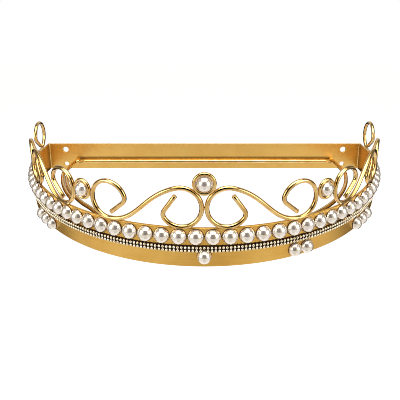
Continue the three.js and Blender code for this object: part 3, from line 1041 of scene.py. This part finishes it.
# Studio, in metres: soft boxes above and at both sides, walls and a ceiling that only reflections
# show, and the dark camera side that polished metal and pearls mirror. A pale floor lies far below,
# because the crown hangs on a wall
studio = {
    "diffuseWorld": 0.35,  # strength of the sky as light on the crown
    "lamps": {  # a face is how bright reflections see the lamp, at its rim and in its hot middle
        "top": {"place": (0, -0.32, 1.0), "size": (1.4, 1.05), "power": 8.5, "face": (2.4, 10.0)},
        "left": {"place": (-0.8, -0.64, 0.32), "size": (0.7, 0.74), "power": 3.0, "face": (2.0, 6.5)},
        "right": {"place": (0.8, -0.64, 0.32), "size": (0.7, 0.74), "power": 3.0, "face": (2.0, 6.5)},
    },
    "lampColour": "#fffaf2",
    "lampAim": (0, -0.13, 0.02),
    "card": {"size": (0.36, 0.52), "raise": 0.03, "behind": 0.02, "colour": "#0f0c09"},  # round the lens
    "stand": {"width": 0.4, "behind": 0.12, "top": -0.03, "colour": "#e6e3dc"},  # below the camera
    "room": 2.2,  # from the middle to each wall
    "ceiling": 2.4,
    "skirting": -0.25,
    "tableEdge": {"behind": 1.1, "top": -0.06, "colour": "#1d1812"},  # dark edge low behind the crown
    "mats": {"inner": 0.75, "front": -0.1, "lift": 0.02, "colour": "#5a5142"},  # on the floor at both sides
    "wallColours": {"front": "#b0a898", "back": "#e2ddd3", "sides": "#857c6b", "ceiling": "#8f8878"},
    "floor": {"height": -1.0, "half": 9, "colour": "#f2f0ec"},
    "floorGlow": 0.7,  # as the camera sees it
    "floorShine": 0.58,  # as polished surfaces see it
}


def makeWorld(s):
    world = bpy.data.worlds.new("studio")
    world.use_nodes = True
    tree = world.node_tree
    tree.nodes.clear()
    ray = addNode(tree, "ShaderNodeLightPath").outputs
    seen = addNode(tree, "ShaderNodeMath", {
        0: ray["Is Camera Ray"], 1: ray["Is Glossy Ray"]}, operation="MAXIMUM")
    clear = addNode(tree, "ShaderNodeMath", {
        0: seen.outputs[0], 1: ray["Is Transmission Ray"]}, operation="MAXIMUM")
    strength = addNode(tree, "ShaderNodeMapRange", {
        "Value": clear.outputs[0], "To Min": s["diffuseWorld"], "To Max": 1.0})
    sky = addNode(tree, "ShaderNodeBackground", {
        "Color": (1, 1, 1, 1), "Strength": strength.outputs["Result"]})
    addNode(tree, "ShaderNodeOutputWorld", {"Surface": sky.outputs[0]})
    scene.world = world


def levelCorners(left, front, right, back, z):
    return [(left, front, z), (right, front, z), (right, back, z), (left, back, z)]


def uprightCorners(start, end, low, high):
    return [(*start, low), (*end, low), (*end, high), (*start, high)]


# Even light, or light that grows from the rim to the hot middle of a soft box
def glow(name, colour, levels):
    material, tree = newMaterial(name)
    light = addNode(tree, "ShaderNodeEmission", {"Color": toLinear(colour)})
    if levels:
        place = addNode(tree, "ShaderNodeUVMap", uv_map="face").outputs["UV"]
        around = addNode(tree, "ShaderNodeMapping", {
            "Vector": place, "Location": (-1, -1, 0), "Scale": (2, 2, 1)})
        spot = addNode(tree, "ShaderNodeTexGradient", {
            "Vector": around.outputs["Vector"]}, gradient_type="SPHERICAL")
        level = addNode(tree, "ShaderNodeMapRange", {
            "Value": spot.outputs["Fac"], "To Min": levels[0], "To Max": levels[1]})
        tree.links.new(level.outputs["Result"], light.inputs["Strength"])
    addNode(tree, "ShaderNodeOutputMaterial", {"Surface": light.outputs[0]})
    return material


# A face that only reflections see
def makePanel(name, corners, colour, place=Matrix(), levels=None):
    mesh = bpy.data.meshes.new(name)
    mesh.from_pydata(corners, [], [(0, 1, 2, 3)])
    mesh.transform(place)
    mesh.materials.append(glow(name, colour, levels))
    layer = mesh.uv_layers.new(name="face")
    for corner, uv in zip(layer.data, ((0, 0), (1, 0), (1, 1), (0, 1))):
        corner.uv = uv
    panel = addObject(name, mesh)
    panel.visible_camera = panel.visible_diffuse = panel.visible_shadow = panel.visible_transmission = False


def makeLamp(name, place, size, power, face):
    data = bpy.data.lights.new(name, "AREA")
    data.shape = "RECTANGLE"
    data.size, data.size_y = size
    data.energy = power
    lamp = addObject(name, data)
    lamp.location = place
    lamp.visible_camera = lamp.visible_glossy = False
    lamp.rotation_euler = (Vector(studio["lampAim"]) - Vector(place)).to_track_quat("-Z", "Y").to_euler()
    w, h = size[0] / 2, size[1] / 2
    corners = levelCorners(-w, -h, w, h, 0)
    makePanel(f"{name}LampFace", corners, studio["lampColour"], lamp.matrix_basis, face)


def makeRoom(s):
    card, stand, edge, mats = s["card"], s["stand"], s["tableEdge"], s["mats"]
    r, low, high, bottom = s["room"], s["skirting"], s["ceiling"], s["floor"]["height"]
    colours = s["wallColours"]
    w, h = card["size"][0] / 2, card["size"][1] / 2
    aroundLens = scene.camera.matrix_basis @ Matrix.Translation((0, card["raise"], card["behind"]))
    makePanel("darkCard", levelCorners(-w, -h, w, h, 0), card["colour"], aroundLens)
    makePanel("frontWall", uprightCorners((-r, -r), (r, -r), low, high), colours["front"])
    makePanel("backWall", uprightCorners((-r, r), (r, r), low, high), colours["back"])
    half, y = stand["width"] / 2, camera["place"][1] - stand["behind"]
    makePanel("cameraStand", uprightCorners((-half, y), (half, y), bottom, stand["top"]), stand["colour"])
    y = edge["behind"]
    makePanel("tableEdge", uprightCorners((-r, y), (r, y), bottom, edge["top"]), edge["colour"])
    for name, side in (("leftMat", -1), ("rightMat", 1)):
        inner, outer, z = side * mats["inner"], side * 2 * r, bottom + mats["lift"]
        makePanel(name, levelCorners(inner, mats["front"], outer, 2 * r, z), mats["colour"])
    makePanel("leftWall", uprightCorners((-r, -r), (-r, r), low, high), colours["sides"])
    makePanel("rightWall", uprightCorners((r, -r), (r, r), low, high), colours["sides"])
    makePanel("ceiling", levelCorners(-r, -r, r, r, high), colours["ceiling"])


# White to the camera and pale in reflections, and it keeps the crown's shadow
def makeFloor(s):
    material, tree = newMaterial("paleFloor")
    ray = addNode(tree, "ShaderNodeLightPath").outputs
    seen = addNode(tree, "ShaderNodeMath", {
        0: ray["Is Camera Ray"], 1: ray["Is Transmission Ray"]}, operation="MAXIMUM")
    straight = addNode(tree, "ShaderNodeMath", {
        0: seen.outputs[0], 1: s["floorGlow"]}, operation="MULTIPLY")
    mirrored = addNode(tree, "ShaderNodeMath", {
        0: ray["Is Glossy Ray"], 1: s["floorShine"]}, operation="MULTIPLY")
    level = addNode(tree, "ShaderNodeMath", {
        0: straight.outputs[0], 1: mirrored.outputs[0]}, operation="MAXIMUM")
    matt = addNode(tree, "ShaderNodeBsdfDiffuse", {"Color": toLinear(s["floor"]["colour"])})
    lift = addNode(tree, "ShaderNodeEmission", {"Color": (1, 1, 1, 1), "Strength": level.outputs[0]})
    both = addNode(tree, "ShaderNodeAddShader", {0: matt.outputs[0], 1: lift.outputs[0]})
    addNode(tree, "ShaderNodeOutputMaterial", {"Surface": both.outputs[0]})
    mesh = bpy.data.meshes.new("floor")
    half = s["floor"]["half"]
    mesh.from_pydata(levelCorners(-half, -half, half, half, s["floor"]["height"]), [], [(0, 1, 2, 3)])
    mesh.materials.append(material)
    addObject("floor", mesh)


makeWorld(studio)
for name, lamp in studio["lamps"].items():
    makeLamp(name, **lamp)
makeRoom(studio)
makeFloor(studio)
print("studio lit")
